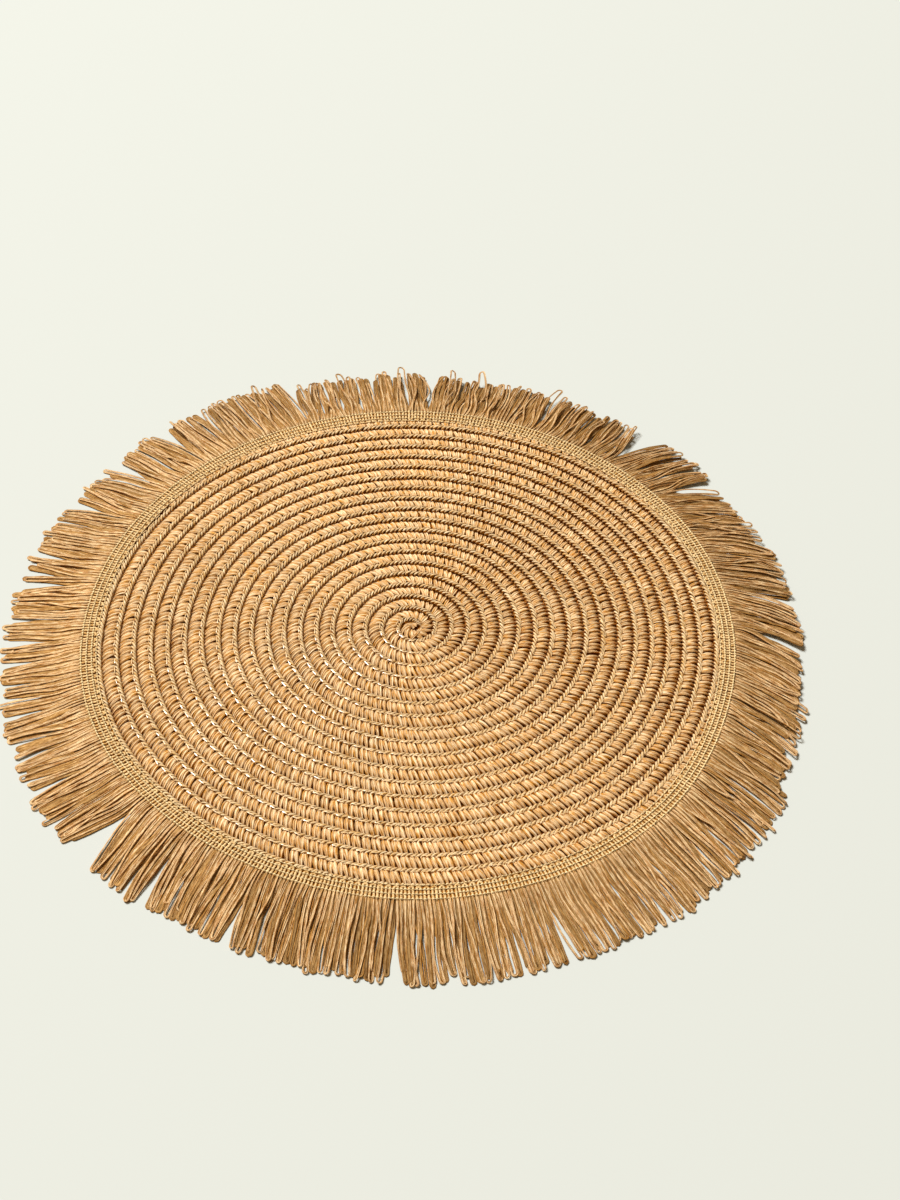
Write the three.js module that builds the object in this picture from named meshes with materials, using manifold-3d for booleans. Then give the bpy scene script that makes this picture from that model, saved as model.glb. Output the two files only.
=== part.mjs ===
// Round paper placemat: a flat braid of paper yarn wound in a spiral and sewn,
// with a fringe of uncut yarn loops held by a woven heading around its rim.
// Millimetres, +Z up. The origin is at the centre of the underside, on the table.

import * as THREE from 'three';
import { mergeVertices } from 'three/addons/utils/BufferGeometryUtils.js';
import Module from 'manifold-3d';

const wasm = await Module();
wasm.setup();

// Driving sizes of the wound body
const ROUND_PITCH = 8.55;       // one round of braid to the next
const SPIRAL_OFFSET = 2.2;      // radius that the spiral would have at azimuth 0
const FIRST_ROUND_START = 120;  // azimuth where the first round leaves the centre, degrees
const ROUNDS = 19.5;            // wound past the rim, then trimmed round
const GROOVE_Z = 2.4;           // where a round dips under the next one
const CREST_Z = 3.9;            // raised inner edge of each round
const CREST_INSET = 0.8;        // groove to crest, across the braid
const HUB_RADIUS = 4.2;         // small flat start of the braid
const SLAB_FOOT_Z = -1;         // foot of the slab before it is trimmed level with the table
const HEADROOM = 0.6;           // how far the trimming solid reaches over the crests

// Driving sizes of the rim
const BODY_RADIUS = 166.8;
const SHELF_Z = 2.7;            // the outermost round, pressed flat under the heading
const SHELF_RADIUS = 161.0;
const SHELF_SLOPE = 0.9;
const MAT_RADIUS = 170.0;       // fringe root, under the heading's outer edge
const GAP = 0.3;                // between pieces that touch

// Driving sizes of the fringe
const LOCKS = 160;
const STRIP_INNER = 167.3;
const STRIP_OUTER = 169.6;
const STRIP_TOP_Z = SHELF_Z;
const LOCK_SIDES = 4;
const TIP_UNEVENNESS = 0.9;     // how much longer or shorter a lock is than its clump's reach
const TIP_WAVE = 2.4;           // radians of that unevenness from one lock to the next

// Facets around the axis
const BODY_SECTORS = 60;
const HEADING_SECTORS = 72;
const STRIP_SECTORS = 80;

// The heading's section, from the foot of its inner edge outwards along the underside and
// back over its three raised rows. inward is the way in from the fringe root, and up the
// height over its underside.
const HEADING_SECTION = [
  { inward: 8.5, up: 0 },
  { inward: -0.3, up: 0 },
  { inward: -0.3, up: 0.5 },
  { inward: 0.9, up: 1.2 },
  { inward: 2.1, up: 0.8 },
  { inward: 3.3, up: 1.4 },
  { inward: 4.4, up: 0.95 },
  { inward: 5.5, up: 1.55 },
  { inward: 6.6, up: 1.1 },
  { inward: 8.0, up: 1.3 },
  { inward: 8.5, up: 0.9 },
];

// The rim is not a true circle: how far it stands out of the circle at each azimuth
const RIM_BULGE = [
  { azimuth: 0, out: -1.6 },
  { azimuth: 30, out: 0.1 },
  { azimuth: 75, out: 0.4 },
  { azimuth: 130, out: 0.0 },
  { azimuth: 165, out: 0.3 },
  { azimuth: 203, out: 2.2 },
  { azimuth: 243, out: -1.2 },
  { azimuth: 280, out: -0.3 },
  { azimuth: 314, out: 1.0 },
  { azimuth: 343, out: -1.8 },
];

// The fringe lies in clumps. A clump starts at an azimuth of the rim and ends where the
// next one starts. reach is the radius of its tips, lean how far the tips lie round from
// their roots in degrees, gather how closely the tips keep to the clump's middle, and
// lift how high the tips stay off the table.
const CLUMPS = [
  { from: 2, reach: 206, lean: -4.8, gather: 0.80, lift: 1.6 },
  { from: 11, reach: 206, lean: -4.5, gather: 0.82, lift: 1.8 },
  { from: 24, reach: 203, lean: -5.0, gather: 0.88, lift: 1.9 },
  { from: 38, reach: 206, lean: -3.5, gather: 0.80, lift: 1.8 },
  { from: 50, reach: 204, lean: -0.8, gather: 0.92, lift: 1.9 },
  { from: 67, reach: 204, lean: -0.5, gather: 0.94, lift: 1.6 },
  { from: 88, reach: 206, lean: 0.0, gather: 0.94, lift: 1.2 },
  { from: 111, reach: 211, lean: 0.6, gather: 0.86, lift: 0.8 },
  { from: 127, reach: 210, lean: 0.5, gather: 0.72, lift: 0.4 },
  { from: 134, reach: 210, lean: 0.8, gather: 0.74, lift: 0.3 },
  { from: 144, reach: 209, lean: 1.0, gather: 0.76, lift: 0.0 },
  { from: 154, reach: 210, lean: 0.8, gather: 0.84, lift: 0.0 },
  { from: 170, reach: 210, lean: 0.5, gather: 0.88, lift: 0.0 },
  { from: 184, reach: 209, lean: 0.4, gather: 0.78, lift: 0.0 },
  { from: 195, reach: 211, lean: 0.3, gather: 0.82, lift: 0.0 },
  { from: 203, reach: 211, lean: 0.3, gather: 0.78, lift: 0.0 },
  { from: 211, reach: 212, lean: 0.0, gather: 0.86, lift: 0.0 },
  { from: 222, reach: 212, lean: 2.6, gather: 0.74, lift: 0.0 },
  { from: 232, reach: 210, lean: 1.6, gather: 0.80, lift: 0.0 },
  { from: 246, reach: 210, lean: 0.8, gather: 0.92, lift: 0.0 },
  { from: 268, reach: 212, lean: 0.2, gather: 0.94, lift: 0.0 },
  { from: 291, reach: 212, lean: 0.0, gather: 0.93, lift: 0.0 },
  { from: 312, reach: 211, lean: -1.8, gather: 0.93, lift: 0.2 },
  { from: 333, reach: 207, lean: -3.6, gather: 0.90, lift: 0.8 },
  { from: 350, reach: 205, lean: -4.8, gather: 0.86, lift: 1.4 },
];

// Stations along a lock, from its root in the strip to its tip. along is the share of its
// length, z the middle height where it lies flat, wide and thick its section.
const LOCK_STATIONS = [
  { along: -0.035, z: 1.6, wide: 3.4, thick: 1.6 },
  { along: 0.22, z: 1.9, wide: 4.4, thick: 1.6 },
  { along: 0.60, z: 0.8, wide: 4.6, thick: 1.6 },
  { along: 1.00, z: 0.7, wide: 3.2, thick: 1.4 },
];

const radians = THREE.MathUtils.degToRad;

// How far the rim stands out at an azimuth in degrees, eased from one row to the next
function rimBulge(azimuth) {
  const turn = THREE.MathUtils.euclideanModulo(azimuth, 360);
  for (let row = 0; row < RIM_BULGE.length; row += 1) {
    const here = RIM_BULGE[row];
    const next = RIM_BULGE[(row + 1) % RIM_BULGE.length];
    const span = THREE.MathUtils.euclideanModulo(next.azimuth - here.azimuth, 360);
    const past = THREE.MathUtils.euclideanModulo(turn - here.azimuth, 360);
    if (past < span) {
      const share = THREE.MathUtils.smoothstep(past, 0, span);
      return THREE.MathUtils.lerp(here.out, next.out, share);
    }
  }
  return 0;
}

// Carries the uneven rim into a geometry: the bulge fades to nothing at the centre
function bendToRim(geometry) {
  const position = geometry.getAttribute('position');
  for (let i = 0; i < position.count; i += 1) {
    const x = position.getX(i);
    const y = position.getY(i);
    const radius = Math.hypot(x, y);
    const bulge = rimBulge(THREE.MathUtils.radToDeg(Math.atan2(y, x)));
    const fade = Math.min(1, (radius / MAT_RADIUS) ** 3);
    const stretch = radius > 0 ? 1 + (bulge * fade) / radius : 1;
    position.setXY(i, x * stretch, y * stretch);
  }
  return geometry;
}

// A closed geometry from vertices and triangles, for the boolean cuts and joins
function solidFrom(geometry) {
  const plain = geometry.clone();
  plain.deleteAttribute('normal');
  plain.deleteAttribute('uv');
  const merged = mergeVertices(plain, 1e-4);
  return new wasm.Manifold(new wasm.Mesh({
    numProp: 3,
    vertProperties: new Float32Array(merged.getAttribute('position').array),
    triVerts: new Uint32Array(merged.index.array),
  }));
}

function geometryFrom(solid) {
  const mesh = solid.getMesh();
  const geometry = new THREE.BufferGeometry();
  geometry.setAttribute('position', new THREE.BufferAttribute(new Float32Array(mesh.vertProperties), 3));
  geometry.setIndex(new THREE.BufferAttribute(new Uint32Array(mesh.triVerts), 1));
  return geometry;
}

function indexedGeometry(points, triangles) {
  const geometry = new THREE.BufferGeometry();
  geometry.setAttribute('position', new THREE.Float32BufferAttribute(points.flat(), 3));
  geometry.setIndex(triangles.flat());
  return geometry;
}

// A ring or disc turned about +Z from a profile of radius and height
function turned(profile, sectors) {
  const outline = profile.map(([radius, z]) => new THREE.Vector2(radius, z));
  const geometry = new THREE.LatheGeometry(outline, sectors);
  geometry.rotateX(Math.PI / 2);
  return geometry;
}

// The wound braid before it is trimmed: one spiral band whose inner edge is raised over the
// round inside it and whose surface slopes down under the round outside it
function spiralSlab() {
  const steps = Math.round(ROUNDS * BODY_SECTORS);
  const points = [];
  const triangles = [];
  const addPoint = (radius, turn, z) => {
    points.push([radius * Math.cos(turn), radius * Math.sin(turn), z]);
    return points.length - 1;
  };
  const turnAt = (step) => radians(FIRST_ROUND_START + (step * 360) / BODY_SECTORS);
  const grooveRadius = (step) => SPIRAL_OFFSET + (ROUND_PITCH * turnAt(step)) / (2 * Math.PI);

  const groove = [];
  const crest = [];
  for (let step = 0; step <= steps + BODY_SECTORS; step += 1) {
    groove.push(addPoint(grooveRadius(step), turnAt(step), GROOVE_Z));
  }
  for (let step = 0; step <= steps; step += 1) {
    crest.push(addPoint(grooveRadius(step) + CREST_INSET, turnAt(step), CREST_Z));
  }
  for (let step = 0; step < steps; step += 1) {
    const outside = step + BODY_SECTORS;
    triangles.push([groove[step], crest[step], crest[step + 1]]);
    triangles.push([groove[step], crest[step + 1], groove[step + 1]]);
    triangles.push([crest[step], groove[outside], groove[outside + 1]]);
    triangles.push([crest[step], groove[outside + 1], crest[step + 1]]);
  }

  // The flat start of the braid fills the first round
  const centre = addPoint(0, 0, CREST_Z);
  const hub = [];
  for (let step = 0; step < BODY_SECTORS; step += 1) {
    hub.push(addPoint(HUB_RADIUS, turnAt(step), CREST_Z));
  }
  for (let step = 0; step < BODY_SECTORS; step += 1) {
    const next = (step + 1) % BODY_SECTORS;
    triangles.push([centre, hub[step], hub[next]]);
    triangles.push([hub[step], groove[step], groove[step + 1]]);
    triangles.push([hub[step], groove[step + 1], hub[next]]);
  }
  triangles.push([hub[0], groove[BODY_SECTORS], crest[0]]);
  triangles.push([hub[0], crest[0], groove[0]]);

  // Wall and underside of the untrimmed slab
  const rim = groove.slice(steps);
  rim.push(crest[steps]);
  const foot = rim.map((index) => {
    const [x, y] = points[index];
    points.push([x, y, SLAB_FOOT_Z]);
    return points.length - 1;
  });
  const footCentre = addPoint(0, 0, SLAB_FOOT_Z);
  for (let i = 0; i < rim.length; i += 1) {
    const next = (i + 1) % rim.length;
    triangles.push([rim[i], foot[i], foot[next]]);
    triangles.push([rim[i], foot[next], rim[next]]);
    triangles.push([footCentre, foot[next], foot[i]]);
  }
  return indexedGeometry(points, triangles);
}

// The wound body, trimmed round and pressed flat under the heading
function wovenBody() {
  const top = CREST_Z + HEADROOM;
  const envelope = turned([
    [0, 0],
    [BODY_RADIUS, 0],
    [BODY_RADIUS, SHELF_Z],
    [SHELF_RADIUS, SHELF_Z],
    [SHELF_RADIUS - SHELF_SLOPE, top],
    [0, top],
  ], BODY_SECTORS);
  return bendToRim(geometryFrom(solidFrom(spiralSlab()).intersect(solidFrom(envelope))));
}

// The woven heading: a flat tape with a smooth inner edge and three raised rows of weave,
// sewn over the outermost round and over the roots of the fringe
function trimHeading() {
  const under = SHELF_Z + GAP;
  const section = HEADING_SECTION.map(({ inward, up }) => [MAT_RADIUS - inward, under + up]);
  return bendToRim(turned([...section, section[0]], HEADING_SECTORS));
}

// The clump that an azimuth of the rim belongs to, with the azimuth of its middle
function clumpAt(azimuth) {
  const shifted = azimuth < CLUMPS[0].from ? azimuth + 360 : azimuth;
  const row = CLUMPS.findLastIndex((clump) => clump.from <= shifted);
  const next = row + 1 < CLUMPS.length ? CLUMPS[row + 1].from : CLUMPS[0].from + 360;
  return { ...CLUMPS[row], middle: (CLUMPS[row].from + next) / 2, azimuth: shifted };
}

// One lock of the fringe, a flat tapered bundle of loops that leaves the strip, bends down
// and lies level on the table
function fringeLock(index) {
  const clump = clumpAt((index * 360) / LOCKS);
  const rootTurn = clump.azimuth;
  const tipTurn = clump.middle + (rootTurn - clump.middle) * clump.gather + clump.lean;
  const uneven = TIP_UNEVENNESS * Math.sin(index * TIP_WAVE);
  const reach = clump.reach - STRIP_OUTER + uneven;
  const rings = LOCK_STATIONS.map((station) => {
    const bend = Math.max(0, station.along) ** 1.5;
    const turn = radians(THREE.MathUtils.lerp(rootTurn, tipTurn, bend));
    const middle = new THREE.Vector3(STRIP_OUTER + reach * station.along, 0, 0);
    middle.applyAxisAngle(new THREE.Vector3(0, 0, 1), turn);
    middle.z = station.z + clump.lift * Math.max(0, station.along);
    return { middle, ...station };
  });
  const points = [];
  const triangles = [];
  rings.forEach((ring, step) => {
    const before = rings[Math.max(0, step - 1)].middle;
    const after = rings[Math.min(rings.length - 1, step + 1)].middle;
    const ahead = after.clone().sub(before).setZ(0).normalize();
    const side = new THREE.Vector3(-ahead.y, ahead.x, 0);
    for (const [across, up] of [[-1, -1], [1, -1], [1, 1], [-1, 1]]) {
      const corner = ring.middle.clone().addScaledVector(side, (across * ring.wide) / 2);
      points.push([corner.x, corner.y, corner.z + (up * ring.thick) / 2]);
    }
  });
  for (let step = 0; step + 1 < rings.length; step += 1) {
    for (let side = 0; side < LOCK_SIDES; side += 1) {
      const here = step * LOCK_SIDES + side;
      const next = step * LOCK_SIDES + ((side + 1) % LOCK_SIDES);
      triangles.push([here, next, next + LOCK_SIDES]);
      triangles.push([here, next + LOCK_SIDES, here + LOCK_SIDES]);
    }
  }
  const tip = (rings.length - 1) * LOCK_SIDES;
  triangles.push([0, 2, 1], [0, 3, 2]);
  triangles.push([tip, tip + 1, tip + 2], [tip, tip + 2, tip + 3]);
  return indexedGeometry(points, triangles);
}

// The fringe: locks fused at their roots into a narrow strip just outside the body
function loopFringe() {
  const strip = turned([
    [STRIP_INNER, 0],
    [STRIP_OUTER, 0],
    [STRIP_OUTER, STRIP_TOP_Z],
    [STRIP_INNER, STRIP_TOP_Z],
    [STRIP_INNER, 0],
  ], STRIP_SECTORS);
  let fringe = solidFrom(strip);
  for (let index = 0; index < LOCKS; index += 1) {
    fringe = fringe.add(solidFrom(fringeLock(index)));
  }
  return bendToRim(geometryFrom(fringe));
}

// Paper yarn in three tones: the wound body, the paler tape and the browner loops
const paperYarn = (color) => new THREE.MeshStandardMaterial({ color, roughness: 0.72, metalness: 0 });

function piece(name, geometry, material) {
  const mesh = new THREE.Mesh(geometry, material);
  mesh.name = name;
  return mesh;
}

const placemat = new THREE.Group();
placemat.add(
  piece('woven_body', wovenBody(), paperYarn(0xd8ac72)),
  piece('trim_heading', trimHeading(), paperYarn(0xd6ab66)),
  piece('loop_fringe', loopFringe(), paperYarn(0xc79a5e)),
);

export default placemat;
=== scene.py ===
from dataclasses import dataclass

import bpy
import numpy as np
from mathutils import Matrix, Vector


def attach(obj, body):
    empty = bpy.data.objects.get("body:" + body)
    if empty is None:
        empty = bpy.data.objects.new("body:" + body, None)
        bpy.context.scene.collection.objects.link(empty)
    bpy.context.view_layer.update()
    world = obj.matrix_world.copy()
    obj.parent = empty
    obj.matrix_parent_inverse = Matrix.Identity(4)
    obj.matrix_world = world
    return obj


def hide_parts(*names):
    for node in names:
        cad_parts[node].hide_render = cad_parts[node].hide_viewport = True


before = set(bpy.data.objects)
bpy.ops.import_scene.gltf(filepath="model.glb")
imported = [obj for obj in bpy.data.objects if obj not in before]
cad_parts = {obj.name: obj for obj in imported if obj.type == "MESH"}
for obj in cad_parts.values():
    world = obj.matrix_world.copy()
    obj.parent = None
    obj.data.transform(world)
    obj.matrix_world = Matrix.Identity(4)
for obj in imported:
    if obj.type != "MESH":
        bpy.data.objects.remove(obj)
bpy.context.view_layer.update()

# Everything is laid out in millimetres and degrees, and turned into metres when a mesh is made
MM = 0.001
ROOT = "root"

# The wound body, as in the part's source
ROUND_PITCH = 8.55
SPIRAL_OFFSET = 2.2
BODY_RADIUS = 166.8
SHELF_RADIUS = 161.0
MAT_RADIUS = 170.0

# The rounds lie a little out of place, more so away from the centre: all of them inwards, then
# more on one side than on the other, and wider across than along
DRIFT_ALL_ROUND = -0.6
DRIFT_SIDEWAYS = 1.95
DRIFT_WIDER = 1.3
DRIFT_START_RADIUS = 20.0
DRIFT_GROWS_OVER = 90.0

# The braid: each yarn crosses its round once and closes one stitch. The two starts are azimuths
# along the spiral, and the two ends are radii of its groove, under the heading or just inside it.
YARN_SPACING = 2.47
STITCH_MIDDLE = 4.4
BRAID_START = -175.0
CHAIN_START = 12.0
BRAID_END = 163.0
FLOATS_END = 159.6
FLOAT_HALF_HEIGHT = 0.55
CHAIN_HALF_HEIGHT = 0.46
FLOAT_ROLL_SPREAD = 0.16
PAIR_SHIFT = 0.30
CROWDING_LIMITS = (0.45, 1.15)
SPIRAL_SAMPLES = 60000

# Where the heading covers the braid, it is pressed flat
COVERED_RADII = (SHELF_RADIUS - 2.0, SHELF_RADIUS + 0.5)
BRAID_LIMITS = (9.0, 2.4)
GROUND_COVERED_RADII = (SHELF_RADIUS - 2.0, SHELF_RADIUS)
GROUND_LIMITS = (9.0, 1.7)

# The thin wound sheet under the yarns: its heights across a round, from one groove to the next.
# Its rim lies under the heading and stays in place.
GROUND_SECTORS = 96
GROUND_INNER_RADIUS = 2.0
GROUND_RING_STEP = ROUND_PITCH / 6
GROUND_PHASES = (0.0, 0.9, ROUND_PITCH)
GROUND_TOPS = (0.9, 1.5, 0.9)
GROUND_UNDERS = (0.7, 0.15, 0.05)
GROUND_CENTRE_HEIGHTS = (1.6, 0.2)
GROUND_DRIFT_ENDS_FROM = 156.0
GROUND_DRIFT_ENDS_OVER = 9.0

# The sewing thread
DASH_SPACING = 6.5
DASH_LENGTH = 3.4
DASH_OUT = 1.95
DASH_HEIGHT = 3.34
DASH_LEAN = -0.36
DASH_HALF_WIDTH = 0.24
DASH_HALF_HEIGHT = 0.18
FIRST_DASH_AFTER = 40.0

# How much its dashes differ: mm along, out and up, a share of their length, a slope for the
# slant and radians for the lean
DASH_SPREAD = {
    "along": 0.35,
    "length": 0.18,
    "slant": 0.07,
    "out": 0.15,
    "height": 0.05,
    "lean": 0.07,
}

# The heading and the fringe are one weft yarn: it turns back inside the heading and again at the
# end of every loop, so each loop ends in two columns of the weave
LOOPS = 289
COLUMN_TURN = np.pi / LOOPS
WEFT_TURN = 162.3
WEFT_BEND = 0.8
WEFT_HEIGHT = 3.5
WEFT_HALF_WIDTH = 0.71
WEFT_HALF_HEIGHT = 0.44
WEFT_TURN_SPREAD = 0.0007
WEFT_OUT_SPREAD = 0.07
WEFT_WIDTH_SPREAD = 0.10
KNOT_ROWS = (161.6, 163.9, 166.5, 169.2)
KNOT_HALF_WIDTHS = (0.52, 0.68, 0.68, 0.66)
KNOT_SHAPE = (1.0, 0.6, 0.0, 0.6)
KNOT_SPREAD = 0.10
WARP_OUT_SPREAD = 0.08
WARP_HEIGHT = 3.30
KNOT_RISE = 0.78
WARP_NARROWEST = 0.28
WARP_HALF_HEIGHT = 0.40
TAPE_MIDDLE = 165.6
TAPE_HEIGHT = 2.8
TAPE_HALF_WIDTH = 4.9
TAPE_HALF_HEIGHT = 0.3
TAPE_STEPS = 240

# The loops of the fringe: they leave the heading at a height and come down over a length
FRINGE_ROOT = 169.2
LEG_HALF_HEIGHT = 0.36
LEAVING_HEIGHT = 2.7
COMES_DOWN_OVER = 16.0

# A few loops that lie side by side bunch together, more so on the side whose yarn is painted
# paler, as painted light
BUNCH_SEED = 41
BUNCH_LOOPS = (3.0, 7.0)
BUNCHES_DRAWN = 120
BUNCHING = 0.04
LIT_SIDE_BUNCHING = 0.22

# Where the tips lie, in degrees: more spread where the fringe is loose, which it is in full at
# this lift
TIP_SPREAD = 0.40
LOOSE_TIP_SPREAD = 0.35
LOOSE_LIFT = 1.2

# How long the loops are: some fall well short of the rest
LENGTH_SPREAD = 1.2
LIT_SIDE_SHORTER = 1.6
LOOSE_SHORTER = 2.2
SHORT_SHARE = 0.07
SHORT_BY = (2, 6)

# How wide a loop is open at its tip and half way along, at least and how much more
EYE_HALF = 0.72
EYE_SPREAD = 0.55
LENS_HALF = 0.05
LENS_SPREAD = 0.70

# How many loops have crossed legs, and how far all are tilted and rolled, in radians
CROSSED_SHARE = 0.26
TILT_SPREAD = 0.42
ROLL_SPREAD = 0.45
ROLL_WAVE = 0.35

# How far the loops wander to the side, to one side or first to one and then to the other
BOW_SPREAD = 0.55
WAVE_SPREAD = 0.32

# The side of the mat on which the fringe lies flattest and its yarn is painted palest, as painted
# light, and how far round
LIT_SIDE_AZIMUTH = 185.0
LIT_SIDE_SPAN = 85.0

# The rim is not a true circle: how far it stands out at each azimuth, as in the part's source
RIM_BULGE = np.array(
    [
        (0, -1.6),
        (30, 0.1),
        (75, 0.4),
        (130, 0.0),
        (165, 0.3),
        (203, 2.2),
        (243, -1.2),
        (280, -0.3),
        (314, 1.0),
        (343, -1.8),
    ],
    dtype=[("azimuth", float), ("out", float)],
)

# The clumps of the fringe, as in the part's source: where each starts on the rim, the radius
# of its tips, how far they lie round from their roots, how closely they keep to the clump's
# middle, and how high they stay off the table
CLUMPS = np.array(
    [
        (2, 206, -4.8, 0.80, 1.6),
        (11, 206, -4.5, 0.82, 1.8),
        (24, 203, -5.0, 0.88, 1.9),
        (38, 206, -3.5, 0.80, 1.8),
        (50, 204, -0.8, 0.92, 1.9),
        (67, 204, -0.5, 0.94, 1.6),
        (88, 206, 0.0, 0.94, 1.2),
        (111, 211, 0.6, 0.86, 0.8),
        (127, 210, 0.5, 0.72, 0.4),
        (134, 210, 0.8, 0.74, 0.3),
        (144, 209, 1.0, 0.76, 0.0),
        (154, 210, 0.8, 0.84, 0.0),
        (170, 210, 0.5, 0.88, 0.0),
        (184, 209, 0.4, 0.78, 0.0),
        (195, 211, 0.3, 0.82, 0.0),
        (203, 211, 0.3, 0.78, 0.0),
        (211, 212, 0.0, 0.86, 0.0),
        (222, 212, 2.6, 0.74, 0.0),
        (232, 210, 1.6, 0.80, 0.0),
        (246, 210, 0.8, 0.92, 0.0),
        (268, 212, 0.2, 0.94, 0.0),
        (291, 212, 0.0, 0.93, 0.0),
        (312, 211, -1.8, 0.93, 0.2),
        (333, 207, -3.6, 0.90, 0.8),
        (350, 205, -4.8, 0.86, 1.4),
    ],
    dtype=[("start", float), ("reach", float), ("lean", float), ("gather", float), ("lift", float)],
)

# Loops at the back that stand up from the rest
STANDING_LOOPS = np.array(
    [
        (67.0, 4.0, 0.9),
        (79.0, 7.0, 1.7),
        (84.5, 4.5, 0.8),
        (91.5, 5.0, 1.5),
        (103.0, 4.0, 1.2),
        (109.0, 3.5, 0.8),
        (117.0, 3.5, 1.3),
        (123.0, 3.0, 0.9),
        (133.0, 2.5, 0.8),
    ],
    dtype=[("azimuth", float), ("rise", float), ("opening", float)],
)

# Camera, fitted to the rim in the photograph
PHOTO_WIDTH = 900
PHOTO_HEIGHT = 1200
FOCAL_PIXELS = 1834.0
CAMERA_ELEVATION = 47.7
CAMERA_ROLL = 1.15
CAMERA_DISTANCE = 0.956
SENSOR_HEIGHT = 36.0
MAT_CENTRE_PIXEL = (412.7, 626.8)
MAT_TOP = 0.0035

# Stage and light
LIGHT_AZIMUTH = 145.0
LIGHT_ELEVATION = 58.0
LIGHT_DISTANCE = 12.0
LIGHT_SIZE = 5.0
LIGHT_POWER = 2330.0
LIGHT_COLOUR = (1.0, 0.985, 0.96)
FILL_COLOUR = (1.0, 0.76, 0.48)
FILL_STRENGTH = 0.24
FLOOR_HALF = 4.0
FLOOR_COLOUR = (0.545, 0.575, 0.55)
BACKDROP_COLOUR = (0.57, 0.59, 0.53)

# Painted shade: the brown of a yarn's edges, between neighbouring yarns, and the deep brown of the
# ground that the braid's holes show
EDGE_SHADE_BROWN = (0.47, 0.185, 0.013)
HOLE_SHADE_BROWN = (0.28, 0.085, 0.005)

# The creases of a yarn: how often they change along it, a step that gives every yarn its own,
# the part of the noise that goes from painted shade in the creases to painted highlight on their
# ridges, how strongly they show in the light and their depth in metres
CREASES_ALONG = 0.24
CREASES_APART = 61.0
CREASE_DARK = 0.36
CREASE_LIGHT = 0.60
CREASE_BUMP = 0.9
CREASE_DEPTH = 0.0008

# Soft patches across the whole mat, and where the painted shade at a yarn's edges begins
PATCH_SCALE = 24.0
PATCH_TONES = (0.96, 1.03)
EDGE_SHADE_BEGINS = 0.52


# Places on the mat
def smooth(share):
    share = np.clip(share, 0.0, 1.0)
    return share * share * (3 - 2 * share)


def rim_bulge(turn):
    """How far the rim stands out, in mm, at a turn in radians."""
    azimuth = np.degrees(turn) % 360.0
    starts = RIM_BULGE["azimuth"]
    row = (np.searchsorted(starts, azimuth, side="right") - 1) % len(starts)
    after = (row + 1) % len(starts)
    span = (starts[after] - starts[row]) % 360.0
    share = smooth(((azimuth - starts[row]) % 360.0) / span)
    return RIM_BULGE["out"][row] * (1 - share) + RIM_BULGE["out"][after] * share


def placed(radius, turn, z):
    """Points in metres from radius and z in mm and turn in radians, with the rim's unevenness."""
    radius, turn, z = np.broadcast_arrays(radius, turn, z)
    fade = np.minimum(1.0, (radius / MAT_RADIUS) ** 3)
    out = radius + rim_bulge(turn) * fade
    return np.stack([out * np.cos(turn), out * np.sin(turn), z], axis=-1) * MM


def drift(turn, radius):
    """How far out of place the wound rounds lie, in mm."""
    out = DRIFT_ALL_ROUND + DRIFT_SIDEWAYS * np.cos(turn) + DRIFT_WIDER * np.cos(2 * turn)
    return out * smooth((radius - DRIFT_START_RADIUS) / DRIFT_GROWS_OVER)


# How far a place lies on the side whose yarn is painted paler, as painted light, from 0 to 1
def lit_side_share(azimuth):
    away = np.abs((azimuth - LIT_SIDE_AZIMUTH + 180.0) % 360.0 - 180.0)
    return smooth(1 - away / LIT_SIDE_SPAN)


def groove_radius(turn):
    return SPIRAL_OFFSET + ROUND_PITCH * turn / (2 * np.pi)


# Mesh helpers
def new_object(name, vertices, faces, marks=None):
    mesh = bpy.data.meshes.new(name)
    mesh.from_pydata(vertices, [], faces)
    if marks is not None:
        layer = mesh.attributes.new("yarn", "FLOAT_VECTOR", "POINT")
        layer.data.foreach_set("vector", np.ascontiguousarray(marks, dtype=np.float32).ravel())
    mesh.shade_smooth()
    piece = bpy.data.objects.new(name, mesh)
    bpy.context.scene.collection.objects.link(piece)
    return piece


def unit(vectors):
    length = np.linalg.norm(vectors, axis=-1, keepdims=True)
    return vectors / np.maximum(length, 1e-12)


class Section:
    """A yarn's outline as (across, up) shares of its half sizes, and which corners are creases."""

    def __init__(self, corners, creases=()):
        self.corners = np.array(corners)
        self.creases = creases


# A flat paper yarn folded along its top
FOLDED = Section(
    [(0.0, -0.8), (1.0, -0.1), (0.62, 0.95), (0.15, 0.2), (-0.42, 1.0), (-1.0, 0.0)],
    creases=(1, 2, 3, 4, 5),
)
# A crumpled one, for the loops of the fringe
CRUMPLED = Section(
    [(-1.0, -0.1), (-0.1, -0.95), (1.0, -0.2), (0.68, 0.75), (0.10, 0.10), (-0.55, 0.95)],
    creases=(0, 2, 3, 4, 5),
)
ROUND = Section([(-0.59, -0.81), (0.59, -0.81), (0.95, 0.31), (0.0, 1.0), (-0.95, 0.31)])
SQUARE = Section([(-0.8, -0.8), (0.8, -0.8), (0.8, 0.8), (-0.8, 0.8)], creases=(0, 1, 2, 3))
RIBBON = Section([(0.0, -0.8), (0.8, 0.6), (-0.8, 0.6)], creases=(1, 2))
DIAMOND = Section([(0.0, -1.0), (1.0, 0.0), (0.0, 1.0), (-1.0, 0.0)])


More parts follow.
